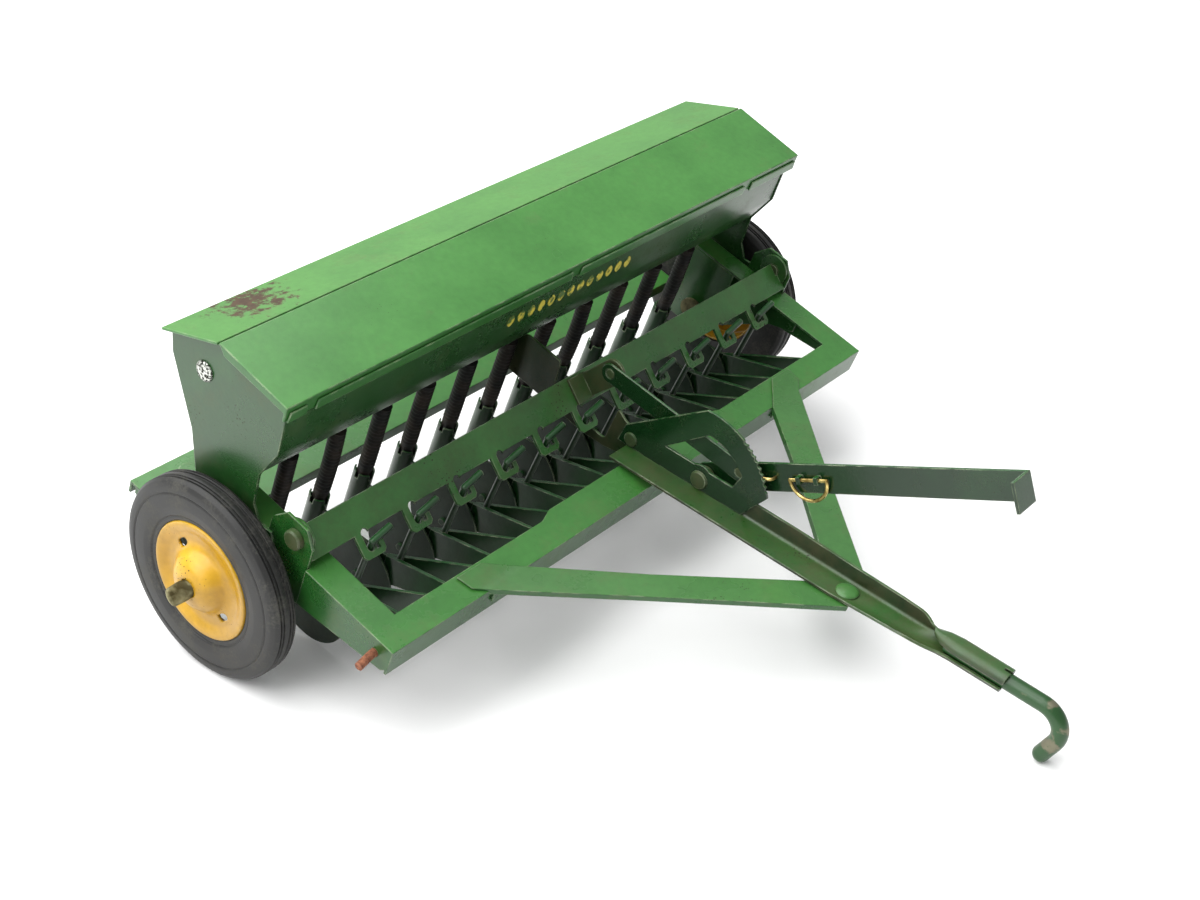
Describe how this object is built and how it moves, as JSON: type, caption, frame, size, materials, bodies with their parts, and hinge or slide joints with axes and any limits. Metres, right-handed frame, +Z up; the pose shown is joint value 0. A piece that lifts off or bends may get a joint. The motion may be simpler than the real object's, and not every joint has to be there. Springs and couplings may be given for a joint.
{
  "type": "grain drill",
  "caption": "Toy pressed-steel seed drill: lidded hopper, rubber-tyred wheels, row of disc openers on a lever-worked lift bar, and a braced tongue with a hitch rod.",
  "frame": {"origin": "middle of the footprint on the floor the drill stands on", "axes": "+X to the drill's left-to-right axle line, -Y towards the hitch, +Z up; it rests on its wheels and the tip of its hitch rod"},
  "size_m": [0.262, 0.2392, 0.1007],
  "materials": {
    "green_enamel": "gloss enamel, chipped at the edges",
    "wheel_enamel": "gloss enamel",
    "tyre_rubber": "dusty ribbed rubber",
    "hose_rubber": "matt ribbed rubber",
    "dark_steel": "dark enamel",
    "worn_steel": "tarnished",
    "rusty_steel": "rusted",
    "bright_steel": "pitted plating",
    "brass_wire": "worn"
  },
  "bodies": {
    "chassis": {"axle_left": "worn_steel", "axle_right": "worn_steel", "bar_rivets": "green_enamel", "brace_left": "green_enamel", "brace_right": "green_enamel", "bracket_left": "green_enamel", "bracket_right": "green_enamel", "end_panel_left": "green_enamel", "end_panel_right": "green_enamel", "footboard": "green_enamel", "frame": "green_enamel", "hitch_rod": "green_enamel", "hopper": "green_enamel", "lever_rivet": "green_enamel", "panel_pins": "bright_steel", "pivot_rod": "rusty_steel", "quadrant": "green_enamel", "quadrant_rivet": "green_enamel", "rear_cover": "green_enamel", "seed_tubes": "hose_rubber", "tongue": "green_enamel", "tongue_rivet": "green_enamel"},
    "left_wheel": {"wheel_left": "wheel_enamel", "tyre_left": "tyre_rubber"},
    "right_wheel": {"wheel_right": "wheel_enamel", "tyre_right": "tyre_rubber"},
    "lid": {"lid": "green_enamel"},
    "lift_bar": {"lift_bar": "green_enamel", "crank": "green_enamel", "crank_pin": "green_enamel"},
    "lever": {"lever": "green_enamel", "lever_pin": "green_enamel", "latch_wire": "brass_wire"},
    "link": {"link": "green_enamel"},
    "trip_ring": {"trip_ring": "brass_wire"},
    "opener_01": {"opener_01": "green_enamel"},
    "disc_01": {"disc_01": "dark_steel"},
    "opener_02": {"opener_02": "green_enamel"},
    "disc_02": {"disc_02": "dark_steel"},
    "opener_03": {"opener_03": "green_enamel"},
    "disc_03": {"disc_03": "dark_steel"},
    "opener_04": {"opener_04": "green_enamel"},
    "disc_04": {"disc_04": "dark_steel"},
    "opener_05": {"opener_05": "green_enamel"},
    "disc_05": {"disc_05": "dark_steel"},
    "opener_06": {"opener_06": "green_enamel"},
    "disc_06": {"disc_06": "dark_steel"},
    "opener_07": {"opener_07": "green_enamel"},
    "disc_07": {"disc_07": "dark_steel"},
    "opener_08": {"opener_08": "green_enamel"},
    "disc_08": {"disc_08": "dark_steel"},
    "opener_09": {"opener_09": "green_enamel"},
    "disc_09": {"disc_09": "dark_steel"},
    "opener_10": {"opener_10": "green_enamel"},
    "disc_10": {"disc_10": "dark_steel"},
    "opener_11": {"opener_11": "green_enamel"},
    "disc_11": {"disc_11": "dark_steel"}
  },
  "joints": [
    {"name": "left_wheel_spin", "type": "hinge", "parent": "chassis", "child": "left_wheel", "pos_m": [-0.117, 0.07796, 0.03], "axis": [1, 0, 0], "continuous": true},
    {"name": "right_wheel_spin", "type": "hinge", "parent": "chassis", "child": "right_wheel", "pos_m": [0.117, 0.07796, 0.03], "axis": [1, 0, 0], "continuous": true},
    {"name": "lid_hinge", "type": "hinge", "parent": "chassis", "child": "lid", "pos_m": [0, 0.07275, 0.10067], "axis": [-1, 0, 0], "range_deg": [0, 100]},
    {"name": "lever_lift", "type": "hinge", "parent": "chassis", "child": "lever", "pos_m": [0.0058, 0.00356, 0.03662], "axis": [-1, 0, 0], "range_deg": [0, 30]},
    {"name": "bar_lift", "type": "hinge", "parent": "chassis", "child": "lift_bar", "pos_m": [0, 0.05138, 0.05045], "axis": [-1, 0, 0], "range_deg": [0, 30]},
    {"name": "link_swing", "type": "hinge", "parent": "lever", "child": "link", "pos_m": [0.0058, -0.0085, 0.04319], "axis": [1, 0, 0], "range_deg": [0, 30]},
    {"name": "ring_swing", "type": "hinge", "parent": "lever", "child": "trip_ring", "pos_m": [0.0047, -0.0309, 0.05008], "axis": [0, 0.9314, -0.364], "range_deg": [0, 75]},
    {"name": "opener_01_lift", "type": "hinge", "parent": "chassis", "child": "opener_01", "pos_m": [-0.0895, 0.02311, 0.02865], "axis": [1, 0, 0], "range_deg": [0, 13.81], "deforming": ["seed_tubes"]},
    {"name": "disc_01_spin", "type": "hinge", "parent": "opener_01", "child": "disc_01", "pos_m": [-0.0917, 0.06661, 0.01404], "axis": [1, 0, 0], "continuous": true},
    {"name": "opener_02_lift", "type": "hinge", "parent": "chassis", "child": "opener_02", "pos_m": [-0.0716, 0.02311, 0.02865], "axis": [1, 0, 0], "range_deg": [0, 13.81], "deforming": ["seed_tubes"]},
    {"name": "disc_02_spin", "type": "hinge", "parent": "opener_02", "child": "disc_02", "pos_m": [-0.0738, 0.06661, 0.01404], "axis": [1, 0, 0], "continuous": true},
    {"name": "opener_03_lift", "type": "hinge", "parent": "chassis", "child": "opener_03", "pos_m": [-0.0537, 0.02311, 0.02865], "axis": [1, 0, 0], "range_deg": [0, 13.81], "deforming": ["seed_tubes"]},
    {"name": "disc_03_spin", "type": "hinge", "parent": "opener_03", "child": "disc_03", "pos_m": [-0.0559, 0.06661, 0.01404], "axis": [1, 0, 0], "continuous": true},
    {"name": "opener_04_lift", "type": "hinge", "parent": "chassis", "child": "opener_04", "pos_m": [-0.0358, 0.02311, 0.02865], "axis": [1, 0, 0], "range_deg": [0, 13.81], "deforming": ["seed_tubes"]},
    {"name": "disc_04_spin", "type": "hinge", "parent": "opener_04", "child": "disc_04", "pos_m": [-0.038, 0.06661, 0.01404], "axis": [1, 0, 0], "continuous": true},
    {"name": "opener_05_lift", "type": "hinge", "parent": "chassis", "child": "opener_05", "pos_m": [-0.0179, 0.02311, 0.02865], "axis": [1, 0, 0], "range_deg": [0, 13.81], "deforming": ["seed_tubes"]},
    {"name": "disc_05_spin", "type": "hinge", "parent": "opener_05", "child": "disc_05", "pos_m": [-0.0201, 0.06661, 0.01404], "axis": [1, 0, 0], "continuous": true},
    {"name": "opener_06_lift", "type": "hinge", "parent": "chassis", "child": "opener_06", "pos_m": [0, 0.02311, 0.02865], "axis": [1, 0, 0], "range_deg": [0, 13.81], "deforming": ["seed_tubes"]},
    {"name": "disc_06_spin", "type": "hinge", "parent": "opener_06", "child": "disc_06", "pos_m": [-0.0022, 0.06661, 0.01404], "axis": [1, 0, 0], "continuous": true},
    {"name": "opener_07_lift", "type": "hinge", "parent": "chassis", "child": "opener_07", "pos_m": [0.0179, 0.02311, 0.02865], "axis": [1, 0, 0], "range_deg": [0, 13.81], "deforming": ["seed_tubes"]},
    {"name": "disc_07_spin", "type": "hinge", "parent": "opener_07", "child": "disc_07", "pos_m": [0.0157, 0.06661, 0.01404], "axis": [1, 0, 0], "continuous": true},
    {"name": "opener_08_lift", "type": "hinge", "parent": "chassis", "child": "opener_08", "pos_m": [0.0358, 0.02311, 0.02865], "axis": [1, 0, 0], "range_deg": [0, 13.81], "deforming": ["seed_tubes"]},
    {"name": "disc_08_spin", "type": "hinge", "parent": "opener_08", "child": "disc_08", "pos_m": [0.0336, 0.06661, 0.01404], "axis": [1, 0, 0], "continuous": true},
    {"name": "opener_09_lift", "type": "hinge", "parent": "chassis", "child": "opener_09", "pos_m": [0.0537, 0.02311, 0.02865], "axis": [1, 0, 0], "range_deg": [0, 13.81], "deforming": ["seed_tubes"]},
    {"name": "disc_09_spin", "type": "hinge", "parent": "opener_09", "child": "disc_09", "pos_m": [0.0515, 0.06661, 0.01404], "axis": [1, 0, 0], "continuous": true},
    {"name": "opener_10_lift", "type": "hinge", "parent": "chassis", "child": "opener_10", "pos_m": [0.0716, 0.02311, 0.02865], "axis": [1, 0, 0], "range_deg": [0, 13.81], "deforming": ["seed_tubes"]},
    {"name": "disc_10_spin", "type": "hinge", "parent": "opener_10", "child": "disc_10", "pos_m": [0.0694, 0.06661, 0.01404], "axis": [1, 0, 0], "continuous": true},
    {"name": "opener_11_lift", "type": "hinge", "parent": "chassis", "child": "opener_11", "pos_m": [0.0895, 0.02311, 0.02865], "axis": [1, 0, 0], "range_deg": [0, 13.81], "deforming": ["seed_tubes"]},
    {"name": "disc_11_spin", "type": "hinge", "parent": "opener_11", "child": "disc_11", "pos_m": [0.0873, 0.06661, 0.01404], "axis": [1, 0, 0], "continuous": true}
  ],
  "couplings": [
    {"joint": "bar_lift", "follows": "lever_lift", "ratio": 1},
    {"joint": "link_swing", "follows": "lever_lift", "ratio": 1},
    {"joint": "opener_01_lift", "follows": "lever_lift", "ratio": 0.46},
    {"joint": "opener_02_lift", "follows": "lever_lift", "ratio": 0.46},
    {"joint": "opener_03_lift", "follows": "lever_lift", "ratio": 0.46},
    {"joint": "opener_04_lift", "follows": "lever_lift", "ratio": 0.46},
    {"joint": "opener_05_lift", "follows": "lever_lift", "ratio": 0.46},
    {"joint": "opener_06_lift", "follows": "lever_lift", "ratio": 0.46},
    {"joint": "opener_07_lift", "follows": "lever_lift", "ratio": 0.46},
    {"joint": "opener_08_lift", "follows": "lever_lift", "ratio": 0.46},
    {"joint": "opener_09_lift", "follows": "lever_lift", "ratio": 0.46},
    {"joint": "opener_10_lift", "follows": "lever_lift", "ratio": 0.46},
    {"joint": "opener_11_lift", "follows": "lever_lift", "ratio": 0.46}
  ]
}
